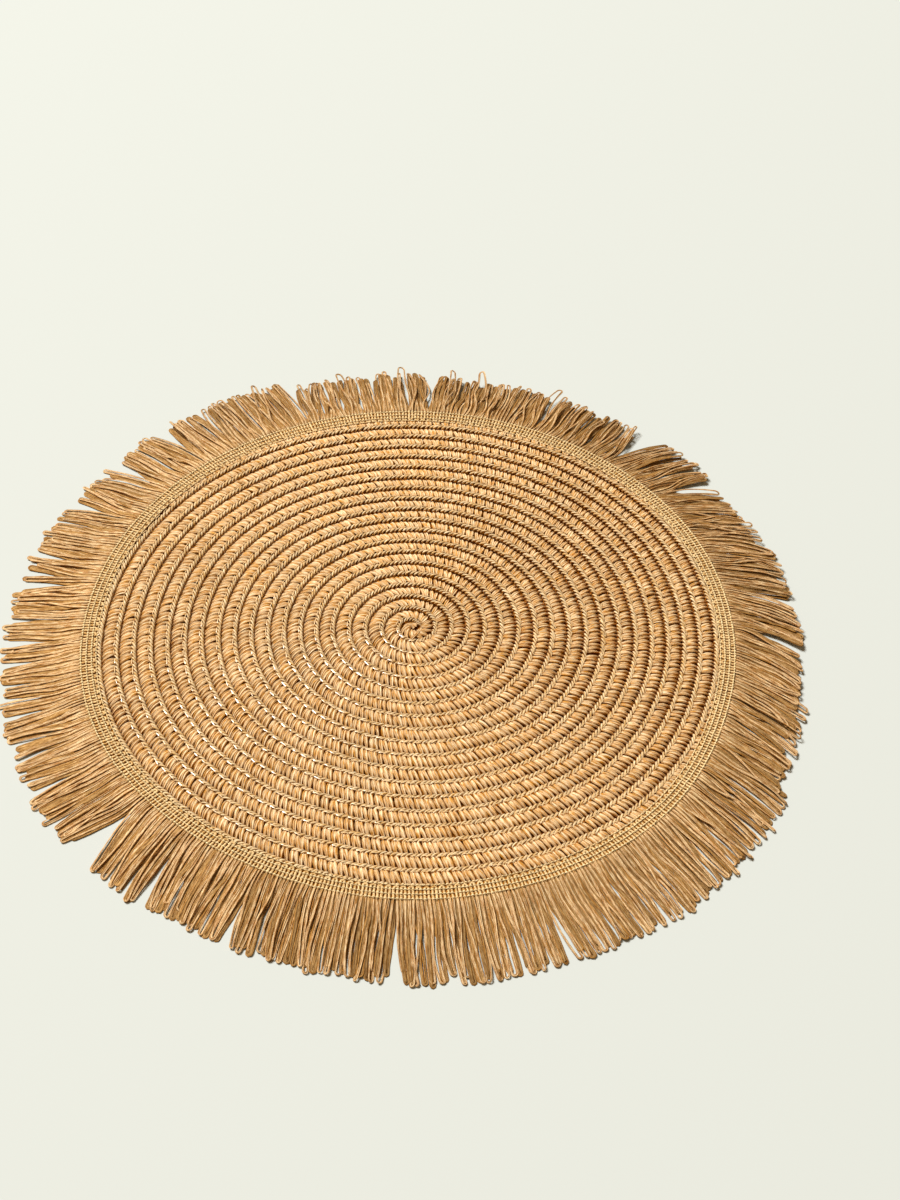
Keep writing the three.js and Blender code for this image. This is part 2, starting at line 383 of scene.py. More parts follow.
def swept_points(spines, half_width, half_height, section, closed, roll):
    """A ring of points, in the section's outline, at every step of every spine."""
    count, steps, _ = spines.shape
    if closed:
        along = unit(np.roll(spines, -1, axis=1) - np.roll(spines, 1, axis=1))
    else:
        along = unit(np.gradient(spines, axis=1))
    level = unit(np.cross(along, np.array([0.0, 0.0, 1.0])))
    above = np.cross(level, along)
    roll = np.broadcast_to(roll, (count, steps))[..., None]
    side = level * np.cos(roll) + above * np.sin(roll)
    up = above * np.cos(roll) - level * np.sin(roll)
    width = np.broadcast_to(half_width, (count, steps))[..., None, None] * MM
    height = np.broadcast_to(half_height, (count, steps))[..., None, None] * MM
    across = section.corners[:, 0][None, None, :, None]
    rise = section.corners[:, 1][None, None, :, None]
    points = spines[:, :, None, :] + side[:, :, None, :] * across * width
    return points + up[:, :, None, :] * rise * height


def swept_faces(count, steps, sides, closed, ends):
    """The faces between the rings, yarn by yarn, with the end faces after them."""
    ring = np.arange(steps if closed else steps - 1)[:, None]
    corner = np.arange(sides)[None, :]
    after = (corner + 1) % sides
    here = ring * sides
    beyond = ((ring + 1) % steps) * sides
    faces = np.stack([here + corner, here + after, beyond + after, beyond + corner], axis=-1)
    offsets = np.arange(count)[:, None] * steps * sides
    listed = (faces.reshape(1, -1, 4) + offsets[..., None]).reshape(-1, 4).tolist()
    if ends and not closed:
        listed += (np.arange(sides)[::-1] + offsets).tolist()
        listed += (np.arange(sides) + (steps - 1) * sides + offsets).tolist()
    return listed


def mark_creases(piece, section):
    """Keeps the edges that run along the section's creased corners sharp."""
    sides = len(section.corners)
    pairs = np.empty(len(piece.data.edges) * 2, dtype=np.int32)
    piece.data.edges.foreach_get("vertices", pairs)
    first, second = (pairs.reshape(-1, 2) % sides).T
    crease = (first == second) & np.isin(first, section.creases)
    layer = piece.data.attributes.new("sharp_edge", "BOOLEAN", "EDGE")
    layer.data.foreach_set("value", crease)


def sweep(name, spines, half_width, half_height, section, tones, closed=False, roll=0.0, ends=True):
    """Yarns along many spines at once. spines is yarns x steps x 3 in metres; the half sizes in
    mm and the roll in radians broadcast to yarns x steps; tones is one number a yarn. Ends that
    lie hidden can be left open. The yarn attribute holds the way along in mm, across from -1 to
    1, and the tone."""
    count, steps, _ = spines.shape
    sides = len(section.corners)
    points = swept_points(spines, half_width, half_height, section, closed, roll)
    faces = swept_faces(count, steps, sides, closed, ends)

    step_length = np.linalg.norm(np.diff(spines, axis=1), axis=-1) / MM
    run = np.concatenate([np.zeros((count, 1)), np.cumsum(step_length, axis=1)], axis=1)
    marks = np.empty((count, steps, sides, 3))
    marks[..., 0] = run[:, :, None]
    marks[..., 1] = section.corners[:, 0][None, None, :]
    marks[..., 2] = np.asarray(tones)[:, None, None]
    piece = new_object(name, points.reshape(-1, 3).tolist(), faces, marks)
    if section.creases:
        mark_creases(piece, section)
    return piece


# Materials
def calculate(tree, operation, first, second=0.0):
    """A Math node whose inputs are numbers or other nodes' outputs."""
    node = tree.nodes.new("ShaderNodeMath")
    node.operation = operation
    for socket, value in zip(node.inputs, (first, second)):
        if isinstance(value, float):
            socket.default_value = value
        else:
            tree.links.new(value, socket)
    return node.outputs["Value"]


def spread(tree, source, lowest, highest, least, most):
    """A Map Range node: the source's range from lowest to highest becomes least to most."""
    ranged = tree.nodes.new("ShaderNodeMapRange")
    ranged.inputs["From Min"].default_value = lowest
    ranged.inputs["From Max"].default_value = highest
    ranged.inputs["To Min"].default_value = least
    ranged.inputs["To Max"].default_value = most
    tree.links.new(source, ranged.inputs["Value"])
    return ranged.outputs["Result"]


def noise(tree, vector, scale, detail, roughness=0.5):
    texture = tree.nodes.new("ShaderNodeTexNoise")
    texture.inputs["Scale"].default_value = scale
    texture.inputs["Detail"].default_value = detail
    texture.inputs["Roughness"].default_value = roughness
    tree.links.new(vector, texture.inputs["Vector"])
    return texture.outputs["Fac"]


def object_place(tree):
    return tree.nodes.new("ShaderNodeTexCoord").outputs["Object"]


def yarn_marks(tree):
    attribute = tree.nodes.new("ShaderNodeAttribute")
    attribute.attribute_name = "yarn"
    return attribute.outputs["Vector"]


def wound_marks(tree):
    """The yarn attribute's three values worked out from the place on a wound sheet, for the yarns
    that lie across its rounds: the radius in mm, the way across a yarn, and a number for each."""
    slant = 0.35
    tone_step = 0.381
    parts = tree.nodes.new("ShaderNodeSeparateXYZ")
    tree.links.new(object_place(tree), parts.inputs[0])
    x, y = parts.outputs["X"], parts.outputs["Y"]
    x_squared = calculate(tree, "MULTIPLY", x, x)
    y_squared = calculate(tree, "MULTIPLY", y, y)
    metres = calculate(tree, "SQRT", calculate(tree, "ADD", x_squared, y_squared))
    radius = calculate(tree, "DIVIDE", metres, MM)
    angle = calculate(tree, "ARCTAN2", y, x)
    arc = calculate(tree, "MULTIPLY", radius, angle)
    leant = calculate(tree, "ADD", arc, calculate(tree, "MULTIPLY", radius, slant))
    yarns = calculate(tree, "DIVIDE", leant, YARN_SPACING)
    share = calculate(tree, "FRACT", yarns)
    across = calculate(tree, "SUBTRACT", calculate(tree, "MULTIPLY", share, 2.0), 1.0)
    number = calculate(tree, "FLOOR", yarns)
    own = calculate(tree, "FRACT", calculate(tree, "MULTIPLY", number, tone_step))
    joined = tree.nodes.new("ShaderNodeCombineXYZ")
    tree.links.new(radius, joined.inputs["X"])
    tree.links.new(across, joined.inputs["Y"])
    tree.links.new(own, joined.inputs["Z"])
    return joined.outputs["Vector"]


def paper_yarn(
    name,
    dark,
    light,
    roughness=0.45,
    tone_spread=0.10,
    edge_shade=0.8,
    gloss=0.1,
    creasing=2.1,
    marks_from=yarn_marks,
):
    """Folded paper yarn: fine creases along it with painted shade in them and painted highlight on their
    ridges, painted shade at its edges, its own tone and soft patches.
    creasing is how many creases there are across it, or so."""
    material = bpy.data.materials.new(name)
    material.use_nodes = True
    tree = material.node_tree
    links = tree.links
    shader = tree.nodes["Principled BSDF"]
    shader.inputs["Roughness"].default_value = roughness
    shader.inputs["Specular IOR Level"].default_value = gloss
    marks = marks_from(tree)
    parts = tree.nodes.new("ShaderNodeSeparateXYZ")
    links.new(marks, parts.inputs[0])

    # Noise drawn out along the yarn gives its creases, other ones on every yarn. The colour runs from
    # painted shade in the creases to painted highlight on their ridges
    stretched = tree.nodes.new("ShaderNodeVectorMath")
    stretched.operation = "MULTIPLY"
    stretched.inputs[1].default_value = (CREASES_ALONG, creasing, CREASES_APART)
    links.new(marks, stretched.inputs[0])
    creases = noise(tree, stretched.outputs[0], scale=1.0, detail=3.0, roughness=0.62)
    colour = tree.nodes.new("ShaderNodeValToRGB")
    crease_shade_stop, ridge_highlight_stop = colour.color_ramp.elements
    crease_shade_stop.position = CREASE_DARK
    crease_shade_stop.color = (*dark, 1)
    ridge_highlight_stop.position = CREASE_LIGHT
    ridge_highlight_stop.color = (*light, 1)
    links.new(creases, colour.inputs["Fac"])

    # Each yarn has its own tone and broad patches differ a little
    own_tone = spread(tree, parts.outputs["Z"], 0.0, 1.0, 1 - tone_spread, 1 + 0.6 * tone_spread)
    patches = noise(tree, object_place(tree), scale=PATCH_SCALE, detail=2.0)
    patch_tone = spread(tree, patches, 0.3, 0.7, *PATCH_TONES)
    toned = tree.nodes.new("ShaderNodeVectorMath")
    toned.operation = "SCALE"
    links.new(colour.outputs["Color"], toned.inputs[0])
    links.new(calculate(tree, "MULTIPLY", own_tone, patch_tone), toned.inputs["Scale"])

    # A yarn's edges are painted browner, as painted shade between neighbouring yarns
    edge = calculate(tree, "ABSOLUTE", parts.outputs["Y"])
    shaded = tree.nodes.new("ShaderNodeMix")
    shaded.data_type = "RGBA"
    links.new(spread(tree, edge, EDGE_SHADE_BEGINS, 1.0, 0.0, edge_shade), shaded.inputs["Factor"])
    links.new(toned.outputs["Vector"], shaded.inputs["A"])
    shaded.inputs["B"].default_value = (*EDGE_SHADE_BROWN, 1)
    links.new(shaded.outputs["Result"], shader.inputs["Base Color"])

    bump = tree.nodes.new("ShaderNodeBump")
    bump.inputs["Strength"].default_value = CREASE_BUMP
    bump.inputs["Distance"].default_value = CREASE_DEPTH
    links.new(creases, bump.inputs["Height"])
    links.new(bump.outputs["Normal"], shader.inputs["Normal"])
    return material


def plain(name, colour, roughness, specular):
    material = bpy.data.materials.new(name)
    material.use_nodes = True
    shader = material.node_tree.nodes["Principled BSDF"]
    shader.inputs["Base Color"].default_value = (*colour, 1)
    shader.inputs["Roughness"].default_value = roughness
    shader.inputs["Specular IOR Level"].default_value = specular
    return material


def glossy_thread(name):
    """Sewing thread that catches the light."""
    material = plain(name, (0.82, 0.57, 0.28), 0.35, 0.3)
    shader = material.node_tree.nodes["Principled BSDF"]
    shader.inputs["Coat Weight"].default_value = 1.0
    shader.inputs["Coat Roughness"].default_value = 0.25
    shader.inputs["Coat IOR"].default_value = 1.75
    return material


BRAID_PAPER = paper_yarn("braid_paper", dark=(0.62, 0.285, 0.034), light=(0.90, 0.71, 0.45))
CHAIN_PAPER = paper_yarn("chain_paper", dark=(0.64, 0.33, 0.055), light=(0.92, 0.76, 0.50))
HEADING_PAPER = paper_yarn(
    "heading_paper", dark=(0.52, 0.25, 0.04), light=(0.97, 0.73, 0.39), tone_spread=0.16
)
KNOT_PAPER = paper_yarn(
    "knot_paper",
    dark=(0.94, 0.68, 0.32),
    light=(1.0, 0.81, 0.47),
    roughness=0.4,
    tone_spread=0.05,
    edge_shade=0.5,
    gloss=0.25,
)
FRINGE_PAPER = paper_yarn(
    "fringe_paper",
    dark=(0.46, 0.18, 0.02),
    light=(0.93, 0.70, 0.39),
    roughness=0.4,
    tone_spread=0.30,
    edge_shade=0.7,
    gloss=0.3,
    creasing=2.6,
)
# Painted shade: the fringe's lower loops are painted dark, as yarn in the shade of the top ones
SHADED_UNDER_PAPER = paper_yarn(
    "shaded_under_paper",
    dark=(0.24, 0.085, 0.008),
    light=(0.76, 0.47, 0.18),
    roughness=0.5,
    tone_spread=0.55,
    edge_shade=0.7,
    creasing=5.0,
)
BACK_PAPER = paper_yarn(
    "back_paper", dark=(0.44, 0.19, 0.03), light=(0.84, 0.60, 0.32), marks_from=wound_marks
)
# Painted shade: the ground sheet's top is deep brown where the braid's holes show it
SHADE_PAPER = plain("shade_paper", HOLE_SHADE_BROWN, roughness=0.8, specular=0.0)
# Painted shade: the tape is dark brown where it shows between the heading's yarns
TAPE_SHADE_PAPER = plain("tape_shade_paper", (0.36, 0.14, 0.015), roughness=0.8, specular=0.0)
THREAD = glossy_thread("thread")


def finish_piece(piece, material, slot, *replaced):
    piece.data.materials.append(material)
    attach(piece, ROOT)
    if replaced:
        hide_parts(*replaced)
    return piece


# Camera
def photo_camera():
    elevation = np.radians(CAMERA_ELEVATION)
    back = Vector((0, -np.cos(elevation), np.sin(elevation)))
    right = Vector((1, 0, 0))
    up = back.cross(right)
    roll = Matrix.Rotation(np.radians(CAMERA_ROLL), 3, back)
    level = Matrix((roll @ right, roll @ up, back)).transposed()
    across = (MAT_CENTRE_PIXEL[0] - PHOTO_WIDTH / 2) / FOCAL_PIXELS
    down = (MAT_CENTRE_PIXEL[1] - PHOTO_HEIGHT / 2) / FOCAL_PIXELS
    seen = Vector((across, -down, -1)).normalized()
    aim = seen.rotation_difference(Vector((0, 0, -1))).to_matrix()
    data = bpy.data.cameras.new("photo_camera")
    data.sensor_fit = "VERTICAL"
    data.sensor_height = SENSOR_HEIGHT
    data.lens = FOCAL_PIXELS / PHOTO_HEIGHT * data.sensor_height
    camera = bpy.data.objects.new("photo_camera", data)
    place = Vector((0, 0, MAT_TOP)) + back * CAMERA_DISTANCE
    camera.matrix_world = Matrix.Translation(place) @ (level @ aim).to_4x4()
    bpy.context.scene.collection.objects.link(camera)
    bpy.context.scene.camera = camera


# Braid
def braid_turns():
    """The turn of every yarn of the braid, evenly spaced along the middle of the band, and the
    way along the band at each."""
    start = np.radians(BRAID_START)
    end = 2 * np.pi * (BRAID_END - SPIRAL_OFFSET) / ROUND_PITCH
    turn = np.linspace(start, end, SPIRAL_SAMPLES)
    middle = groove_radius(turn) + STITCH_MIDDLE
    speed = np.hypot(middle, ROUND_PITCH / (2 * np.pi))
    run = np.concatenate([[0.0], np.cumsum((speed[1:] + speed[:-1]) / 2 * np.diff(turn))])
    places = np.arange(0.0, run[-1], YARN_SPACING)
    return np.interp(places, run, turn), places


def on_braid(turn, along, out, z):
    """Points from each yarn's turn and its path along and out across the round, all in mm, and
    how much the yarns crowd together at each point."""
    innermost = 0.9
    middle = (groove_radius(turn) + STITCH_MIDDLE)[:, None]
    at = turn[:, None] + along / middle
    radius = np.maximum(groove_radius(at) + out, innermost)
    crowding = np.clip(radius / middle, *CROWDING_LIMITS)
    radius = radius + drift(at, radius)
    pressed = np.interp(radius, COVERED_RADII, BRAID_LIMITS)
    return placed(radius, at, np.minimum(z, pressed)), crowding


# Paths of the two parts of a yarn across its round, one row for each step. The float crosses
# the round from its raised inner edge and dips under the next round. The chain stitch lies on
# that inner edge, which rests on the round inside it.
ALONG, OUT, HEIGHT, HALF_WIDTH = range(4)
FLOAT_PATH = np.array(
    [
        (-0.85, 2.00, 3.10, 0.92),
        (-0.66, 2.65, 3.48, 1.08),
        (-0.28, 3.90, 3.66, 1.22),
        (0.25, 5.30, 3.50, 1.18),
        (0.78, 6.60, 2.92, 1.00),
        (1.24, 7.65, 1.90, 0.78),
        (1.60, 8.70, 1.05, 0.60),
    ]
)
CHAIN_PATH = np.array(
    [
        (2.75, 0.62, 1.90, 0.50),
        (2.55, 0.12, 2.90, 0.60),
        (1.95, 0.30, 3.62, 0.66),
        (0.90, 0.85, 3.88, 0.68),
        (-0.20, 1.42, 3.78, 0.64),
        (-1.15, 2.05, 3.05, 0.50),
    ]
)
# Two floats lean together at their inner ends and leave a gap between them and the next two:
# how far at each step of the float's path, as a share of the shift
PAIR_CLOSING = np.array([1.0, 1.0, 0.6, 0.2, -0.1, -0.2, -0.2]) * PAIR_SHIFT


def jittered(path, count, rng, out=0.10):
    """The path for each of many yarns, each a little different in place, slant, height, arch
    and width."""
    along = 0.12
    height = 0.10
    arch = 0.08
    width = 0.09
    base = np.broadcast_to(path, (count, *path.shape)).copy()
    base[..., ALONG] += rng.normal(0, along, (count, 1))
    base[..., OUT] += rng.normal(0, out, (count, 1))
    base[..., HEIGHT] += rng.normal(0, height, (count, 1))
    base[..., HALF_WIDTH] *= 1 + rng.normal(0, width, (count, 1))
    share = np.linspace(0, 1, path.shape[0])[None]
    base[..., ALONG] += rng.normal(0, along, (count, 1)) * (share - 0.5) * 2
    base[..., HEIGHT] += rng.normal(0, arch, (count, 1)) * np.sin(np.pi * share)
    return base


def in_halves(name, spines, half_width, half_height, section, tones, material, roll=0.0):
    """The same as sweep, split into two pieces of yarns that follow each other."""
    roll = np.broadcast_to(roll, spines.shape[:2])
    pieces = []
    for half, rows in enumerate(np.array_split(np.arange(len(spines)), 2), 1):
        piece = sweep(
            f"{name}_{half}",
            spines[rows],
            half_width[rows],
            half_height,
            section,
            tones[rows],
            roll=roll[rows],
            ends=False,
        )
        pieces.append(finish_piece(piece, material, "braid"))
    return pieces


def make_braid():
    rng = np.random.default_rng(11)
    turns, _ = braid_turns()
    count = len(turns)
    tones = rng.random(count)

    floats = jittered(FLOAT_PATH, count, rng)
    pair = np.where(np.arange(count) % 2 == 0, 1.0, -1.0)[:, None]
    floats[..., ALONG] += pair * PAIR_CLOSING[None]
    kept = groove_radius(turns) < FLOATS_END
    floats = floats[kept]
    spines, crowding = on_braid(turns[kept], floats[..., ALONG], floats[..., OUT], floats[..., HEIGHT])
    roll = rng.normal(0, FLOAT_ROLL_SPREAD, (len(floats), 1)) * np.ones((1, spines.shape[1]))
    width = floats[..., HALF_WIDTH] * crowding
    pieces = in_halves(
        "braid_floats", spines, width, FLOAT_HALF_HEIGHT, FOLDED, tones[kept], BRAID_PAPER, roll
    )

    sewn = turns > np.radians(CHAIN_START)
    chains = jittered(CHAIN_PATH, sewn.sum(), rng, out=0.06)
    spines, crowding = on_braid(turns[sewn], chains[..., ALONG], chains[..., OUT], chains[..., HEIGHT])
    width = chains[..., HALF_WIDTH] * crowding
    pieces += in_halves("braid_chain", spines, width, CHAIN_HALF_HEIGHT, ROUND, tones[sewn], CHAIN_PAPER)
    return pieces


def flat_spine(x, y, z):
    """One spine from its coordinates in mm."""
    return np.stack(np.broadcast_arrays(x, y, z), axis=-1)[None] * MM


def make_centre():
    """The start of the braid: its end folded across the first round, and the yarns curled up
    inside that."""
    half_height = 0.5
    fold_half_width = 0.66
    curl_half_width = 0.72

    # The fold lies a little bent to the side and upwards, and its last point dips
    start_x, start_y, height = 4.3, -0.9, 3.75
    run_x, run_y = -5.2, -8.3
    bulge, arch, dip = 0.7, 0.25, 0.9
    share = np.linspace(0, 1, 16)
    arching = np.sin(np.pi * share)
    fold = flat_spine(start_x + run_x * share + bulge * arching, start_y + run_y * share, height)
    fold[..., 2] += (arch * arching - dip * (share == 1)) * MM
    pieces = [sweep("braid_fold", fold, fold_half_width, half_height, FOLDED, [0.9], roll=0.3)]

    # Each curl is an arc of an ellipse round a middle: half sizes, height, and the azimuths of
    # its ends
    middle_x, middle_y = -0.7, 0.2
    curls = [(3.7, 2.7, 2.75, 40, 300), (2.3, 1.5, 3.05, 10, 250), (1.1, 0.6, 2.7, -60, 200)]
    for number, (across, deep, height, start, end) in enumerate(curls, 1):
        turn = np.radians(np.linspace(start, end, 24))
        x = middle_x + across * np.cos(turn)
        y = middle_y + deep * np.sin(turn)
        spine = flat_spine(x, y, height)
        name = f"braid_curl_{number}"
        tones = [0.3 * number]
        pieces.append(sweep(name, spine, curl_half_width, half_height, FOLDED, tones, roll=-0.2))
    return [finish_piece(piece, BRAID_PAPER, "braid") for piece in pieces]


def ground_faces(rings, sectors):
    """The sheet's faces from its rings of upper points, as many lower ones, and the two centre
    points, and whether each face is on the underside."""
    half = rings * sectors
    rim = (rings - 1) * sectors
    faces = []
    for sector in range(sectors):
        after = (sector + 1) % sectors
        for ring in range(rings - 1):
            here = ring * sectors
            beyond = here + sectors
            faces.append((here + sector, beyond + sector, beyond + after, here + after))
            faces.append(tuple(half + corner for corner in faces[-1][::-1]))
        faces.append((rim + sector, half + rim + sector, half + rim + after, rim + after))
        faces.append((2 * half, sector, after))
        faces.append((2 * half + 1, half + after, half + sector))
    below = [int(half <= min(face) and 2 * half not in face) for face in faces]
    return faces, below


def make_ground():
    """The thin wound sheet under the yarns: it closes the braid and is what its holes show, and its top
    is painted deep brown as painted shade there. Its underside is also the mat's, and shows the
    wound yarns as colour and bump."""
    even_radii = np.arange(GROUND_INNER_RADIUS, BODY_RADIUS - 0.5, GROUND_RING_STEP)
    radii = np.concatenate([even_radii, [BODY_RADIUS]])
    around = np.arange(GROUND_SECTORS) * 2 * np.pi / GROUND_SECTORS
    radius, turn = np.meshgrid(radii, around, indexing="ij")
    phase = (radius - SPIRAL_OFFSET - ROUND_PITCH * turn / (2 * np.pi)) % ROUND_PITCH
    top = np.interp(phase, GROUND_PHASES, GROUND_TOPS)
    top = np.minimum(top, np.interp(radius, GROUND_COVERED_RADII, GROUND_LIMITS))
    under = np.interp(phase, GROUND_PHASES, GROUND_UNDERS)
    still = smooth((radius - GROUND_DRIFT_ENDS_FROM) / GROUND_DRIFT_ENDS_OVER)
    out = radius + drift(turn, radius) * (1 - still)
    upper = placed(out, turn, top).reshape(-1, 3)
    lower = placed(out, turn, under).reshape(-1, 3)
    centre = np.array([[0, 0, height * MM] for height in GROUND_CENTRE_HEIGHTS])
    vertices = np.concatenate([upper, lower, centre])
    faces, below = ground_faces(len(radii), GROUND_SECTORS)
    ground = new_object("braid_ground", vertices.tolist(), faces)
    finish_piece(ground, SHADE_PAPER, "braid", "woven_body")
    ground.data.materials.append(BACK_PAPER)
    ground.data.polygons.foreach_set("material_index", below)
    return ground


# A dash of thread comes up through the chain, lies flat and goes down again: its places along
# as shares of its length, and its rise in mm at each
DASH_PLACES = np.array([-0.60, -0.51, -0.46, -0.40, 0.40, 0.46, 0.51, 0.60])
DASH_RISE = np.array([0.0, 0.95, 1.09, 1.12, 1.12, 1.09, 0.95, 0.0])


def make_thread():
    """Glossy sewing thread: a dash over the chain at every second or third stitch."""
    rng = np.random.default_rng(23)
    turns, places = braid_turns()
    first = np.interp(np.radians(CHAIN_START + FIRST_DASH_AFTER), turns, places)
    middles = np.arange(first, places[-1], DASH_SPACING)
    middles = middles + rng.normal(0, DASH_SPREAD["along"], len(middles))
    turn = np.interp(middles, places, turns)
    count = len(turn)
    length = DASH_LENGTH * (1 + rng.normal(0, DASH_SPREAD["length"], (count, 1)))
    along = DASH_PLACES[None] * length
    slant = rng.normal(0, DASH_SPREAD["slant"], (count, 1))
    out = DASH_OUT + rng.normal(0, DASH_SPREAD["out"], (count, 1)) + along * slant
    height = DASH_HEIGHT + DASH_RISE[None] + rng.normal(0, DASH_SPREAD["height"], (count, 1))
    spines, _ = on_braid(turn, along, out, height)
    # It is pulled down on the outer side, so that its flat top leans outwards
    roll = rng.normal(DASH_LEAN, DASH_SPREAD["lean"], (count, 1))
    tones = rng.random(count)
    piece = sweep(
        "sewing_thread", spines, DASH_HALF_WIDTH, DASH_HALF_HEIGHT, RIBBON, tones, roll=roll, ends=False
    )
    return finish_piece(piece, THREAD, "braid")


# Heading
def hairpin(legs, turning):
    """A hairpin of two legs joined by a bend. At each of its points: the share of the leg's
    length, the side from -1 to 1, and how far into the bend it is from 0 to 1."""
    share = np.concatenate([legs, np.ones(len(turning)), legs[::-1]])
    side = np.concatenate([-np.ones(len(legs)), np.sin(turning), np.ones(len(legs))])
    reach = np.concatenate([np.zeros(len(legs)), np.cos(turning), np.zeros(len(legs))])
    return share, side, reach


def ring_turns(steps):
    return np.arange(steps)[None] * 2 * np.pi / steps


def make_weft(rng):
    """The weft comes in, turns back inside the heading and goes out again."""
    radii = np.linspace(MAT_RADIUS, WEFT_TURN + WEFT_BEND, 8)
    turning = np.radians([-60, 0, 60])
    out = np.concatenate([radii, WEFT_TURN + WEFT_BEND * (1 - np.cos(turning)), radii[::-1]])
    _, side, _ = hairpin(radii, turning)
    middles = (2 * np.arange(LOOPS) + 0.5) * COLUMN_TURN
    turn = middles[:, None] + side[None] * COLUMN_TURN / 2
    turn = turn + rng.normal(0, WEFT_TURN_SPREAD, turn.shape)
    z = WEFT_HEIGHT + rng.normal(0, 0.08, (LOOPS, 1)) + rng.normal(0, 0.06, turn.shape)
    width = WEFT_HALF_WIDTH * (1 + rng.normal(0, WEFT_WIDTH_SPREAD, turn.shape))
    spines = placed(out[None] + rng.normal(0, WEFT_OUT_SPREAD, (LOOPS, 1)), turn, z)
    pale = lit_side_share(np.degrees(middles))
    # The weft is painted paler on one side of the mat, as painted light
    tones = 0.25 + 0.5 * pale + 0.25 * rng.random(LOOPS)
    weft = sweep("heading_weft", spines, width, WEFT_HALF_HEIGHT, ROUND, tones)
    return finish_piece(weft, HEADING_PAPER, "heading", "trim_heading")


def make_warp(rng):
    """Four warp yarns run round the tape and make a bright knot over every column."""
    columns = 2 * LOOPS
    steps = len(KNOT_SHAPE) * columns
    rows = len(KNOT_ROWS)
    knot = np.tile(KNOT_SHAPE, columns)
    knot = knot * (1 + rng.normal(0, KNOT_SPREAD, (rows, steps)))
    radii = np.array(KNOT_ROWS)[:, None] + rng.normal(0, WARP_OUT_SPREAD, (rows, steps))
    spines = placed(radii, ring_turns(steps), WARP_HEIGHT + KNOT_RISE * knot)
    swelling = WARP_NARROWEST + (1 - WARP_NARROWEST) * knot
    width = np.array(KNOT_HALF_WIDTHS)[:, None] * swelling
    tones = rng.random(rows)
    warp = sweep("heading_warp", spines, width, WARP_HALF_HEIGHT, DIAMOND, tones, closed=True)
    return finish_piece(warp, KNOT_PAPER, "heading")


def make_tape():
    """The tape's own thickness under the yarns. Its dark brown is painted shade where it shows between
    them.
    """
    spines = placed(TAPE_MIDDLE, ring_turns(TAPE_STEPS), TAPE_HEIGHT)
    tape = sweep("heading_tape", spines, TAPE_HALF_WIDTH, TAPE_HALF_HEIGHT, SQUARE, [0.2], closed=True)
    return finish_piece(tape, TAPE_SHADE_PAPER, "heading")


def make_heading():
    rng = np.random.default_rng(31)
    return [make_weft(rng), make_warp(rng), make_tape()]


# Fringe
def clump_values(azimuth):
    """How far each loop is from its clump's middle, and the values of the clump's row."""
    starts = CLUMPS["start"]
    row = (np.searchsorted(starts, azimuth % 360.0, side="right") - 1) % len(starts)
    after = (row + 1) % len(starts)
    middle = starts[row] + ((starts[after] - starts[row]) % 360.0) / 2
    offset = (azimuth - middle + 180.0) % 360.0 - 180.0
    return offset, *(CLUMPS[column][row] for column in ("reach", "lean", "gather", "lift"))


def bunch_pull(azimuth):
    """How far each loop is from the middle of its bunch, in degrees. The bunches are the same
    for both layers."""
    rng = np.random.default_rng(BUNCH_SEED)
    loop_turn = 2 * np.degrees(COLUMN_TURN)
    ends = np.cumsum(rng.uniform(*BUNCH_LOOPS, BUNCHES_DRAWN)) * loop_turn
    starts = np.concatenate([[0.0], ends])
    row = np.searchsorted(ends, azimuth % 360.0, side="right")
    return (starts[row] + ends[row]) / 2 - azimuth % 360.0


def as_column(values):
    """One value a loop, to go with many points a loop."""
    return values[:, None]


@dataclass
class FringeLayer:
    """What one layer of the fringe is like: how far it is shifted, in columns, how high its yarns
    lie on the table, and how much shorter they are. Opening, wandering and rolling are shares of
    the top layer's."""

    name: str
    seed: int
    shift: float
    leg_steps: int
    tip_angles: tuple
    rest: float
    shorter: float
    half_width: float
    opening: float
    wandering: float
    rolling: float
    tone: float
    standing: np.ndarray


TOP_LAYER = FringeLayer(
    name="fringe_loops",
    seed=47,
    shift=0.0,
    leg_steps=15,
    tip_angles=(-72, -40, -12, 12, 40, 72),
    rest=0.9,
    shorter=0.0,
    half_width=0.63,
    opening=1.0,
    wandering=1.0,
    rolling=1.0,
    tone=0.17,
    standing=STANDING_LOOPS,
)
UNDER_LAYER = FringeLayer(
    name="fringe_under",
    seed=53,
    shift=0.5,
    leg_steps=11,
    tip_angles=(-60, 0, 60),
    rest=0.45,
    shorter=1.2,
    half_width=1.05,
    opening=0.4,
    wandering=0.35,
    rolling=0.5,
    # A low tone: the lower loops are painted darker, as painted shade
    tone=0.05,
    standing=STANDING_LOOPS[:0],
)


def loop_lengths(rng, layer, reach, loose, pale):
    length = reach - FRINGE_ROOT + rng.normal(0, LENGTH_SPREAD, LOOPS) * (1 + 0.3 * pale)
    length = length - LIT_SIDE_SHORTER * pale - LOOSE_SHORTER * loose - layer.shorter
    return length - np.where(rng.random(LOOPS) < SHORT_SHARE, rng.uniform(*SHORT_BY, LOOPS), 0.0)


def standing_values(layer, azimuth):
    """How high each loop stands up, and how much wider it is open for that."""
    stand = np.zeros(LOOPS)
    widened = np.zeros(LOOPS)
    for standing in layer.standing:
        loop = np.argmin(np.abs(azimuth - standing["azimuth"]))
        stand[loop] = standing["rise"]
        widened[loop] = standing["opening"]
    return stand, widened


